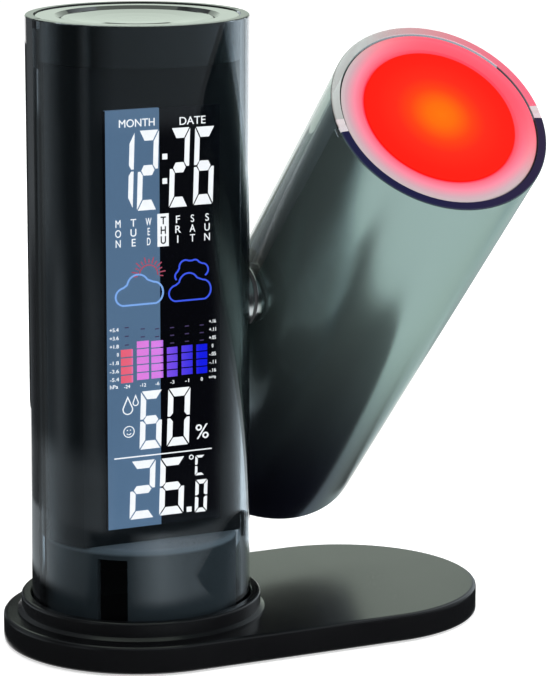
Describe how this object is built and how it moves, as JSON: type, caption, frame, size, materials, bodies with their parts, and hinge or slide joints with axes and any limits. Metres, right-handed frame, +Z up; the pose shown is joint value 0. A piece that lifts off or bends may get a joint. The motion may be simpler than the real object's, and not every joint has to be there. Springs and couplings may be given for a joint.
{
  "type": "projection alarm clock",
  "caption": "Table clock with a round display column and a round projector arm that swivels beside it on a flat oblong base.",
  "frame": {"origin": "middle of the footprint on the table", "axes": "+Z up, the display faces -Y, the projector arm stands on the +X side"},
  "size_m": [0.1474, 0.1616, 0.1843],
  "materials": {
    "base_black": "satin black moulding",
    "cover_black": "fine matt texture",
    "plain_steel": "plain rolled",
    "foot_rubber": "matt",
    "screw_steel": "bright zinc",
    "foot_grey": "satin dark grey",
    "smoked_clear": "polished smoked clear",
    "gloss_black": "polished",
    "frame_black": "fine matt texture",
    "display_glass": "polished",
    "backlight_white": "smooth",
    "circuit_green": "solder mask",
    "cap_grey": "polished",
    "silicone": "matt translucent",
    "button_grey": "satin",
    "contact_nickel": "nickel plate",
    "cell_jacket": "plain jacket",
    "jack_black": "moulded",
    "bush_steel": "turned and plated",
    "washer_nylon": "natural nylon",
    "arm_smoked": "polished, half-mirror smoke",
    "arm_grey_clear": "polished smoked grey",
    "core_black": "satin",
    "cup_silver": "satin silver",
    "bezel_frosted": "frosted clear",
    "lens_red": "frosted, lit red",
    "lens_clear": "polished",
    "led_white": "white solder mask",
    "sink_aluminium": "milled",
    "key_grey": "satin",
    "cable_sheath": "matt"
  },
  "bodies": {
    "stand": {"base_plate": "base_black", "base_cover": "cover_black", "ballast_plate": "plain_steel", "rubber_feet": "foot_rubber", "cover_screws": "screw_steel", "foot_screws": "screw_steel", "column_foot": "foot_grey", "column_front_shell": "smoked_clear", "column_rear_shell": "gloss_black", "display_frame": "frame_black", "lcd_panel": "display_glass", "backlight": "backlight_white", "main_board": "circuit_green", "board_screws": "screw_steel", "top_cap": "cap_grey", "snooze_board": "circuit_green", "snooze_screws": "screw_steel", "snooze_dome": "silicone", "key_board": "circuit_green", "key_board_screws": "screw_steel", "battery_tray": "frame_black", "battery_contacts": "contact_nickel", "battery_cells": "cell_jacket", "dc_jack": "jack_black", "sensor_board": "circuit_green", "buzzer": "jack_black", "pivot_bush": "bush_steel", "thrust_washer": "washer_nylon", "disc_spring": "screw_steel"},
    "snooze": {"snooze_button": "button_grey"},
    "door": {"battery_door": "gloss_black"},
    "arm": {"stop_washer": "screw_steel", "pivot_shaft": "bush_steel", "pivot_clip": "screw_steel", "arm_front_shell": "arm_smoked", "arm_rear_shell": "arm_grey_clear", "arm_core": "core_black", "light_cup": "cup_silver", "lens_bezel": "bezel_frosted", "front_lens": "lens_red", "projector_tube": "core_black", "projection_lens": "lens_clear", "film_lcd": "display_glass", "led_board": "led_white", "heat_sink": "sink_aluminium", "arm_end_cap": "gloss_black", "end_cap_screws": "screw_steel", "arm_cable": "cable_sheath"},
    "key_1": {"key_1": "key_grey"},
    "key_2": {"key_2": "key_grey"},
    "key_3": {"key_3": "key_grey"},
    "key_4": {"key_4": "key_grey"},
    "key_5": {"key_5": "key_grey"},
    "key_6": {"key_6": "key_grey"}
  },
  "joints": [
    {"name": "arm_swivel", "type": "hinge", "parent": "stand", "child": "arm", "pos_m": [0, 0, 0.09999], "axis": [1, 0, 0], "range_deg": [-135, 45]},
    {"name": "snooze_press", "type": "slide", "parent": "stand", "child": "snooze", "axis": [0, 0, -1], "range_m": [0, 0.0015], "stiffness_N_per_m": 1200, "springref_m": -0.0005, "deforming": ["snooze_dome"]},
    {"name": "battery_door_pull", "type": "slide", "parent": "stand", "child": "door", "axis": [0, 1, 0], "range_m": [0, 0.03]},
    {"name": "key_1_press", "type": "slide", "parent": "stand", "child": "key_1", "axis": [0, -1, 0], "range_m": [0, 0.0005], "stiffness_N_per_m": 1500, "springref_m": -0.0003},
    {"name": "key_2_press", "type": "slide", "parent": "stand", "child": "key_2", "axis": [0, -1, 0], "range_m": [0, 0.0005], "stiffness_N_per_m": 1500, "springref_m": -0.0003},
    {"name": "key_3_press", "type": "slide", "parent": "stand", "child": "key_3", "axis": [0, -1, 0], "range_m": [0, 0.0005], "stiffness_N_per_m": 1500, "springref_m": -0.0003},
    {"name": "key_4_press", "type": "slide", "parent": "stand", "child": "key_4", "axis": [0, -1, 0], "range_m": [0, 0.0005], "stiffness_N_per_m": 1500, "springref_m": -0.0003},
    {"name": "key_5_press", "type": "slide", "parent": "stand", "child": "key_5", "axis": [0, -1, 0], "range_m": [0, 0.0005], "stiffness_N_per_m": 1500, "springref_m": -0.0003},
    {"name": "key_6_press", "type": "slide", "parent": "stand", "child": "key_6", "axis": [0, -1, 0], "range_m": [0, 0.0005], "stiffness_N_per_m": 1500, "springref_m": -0.0003}
  ]
}
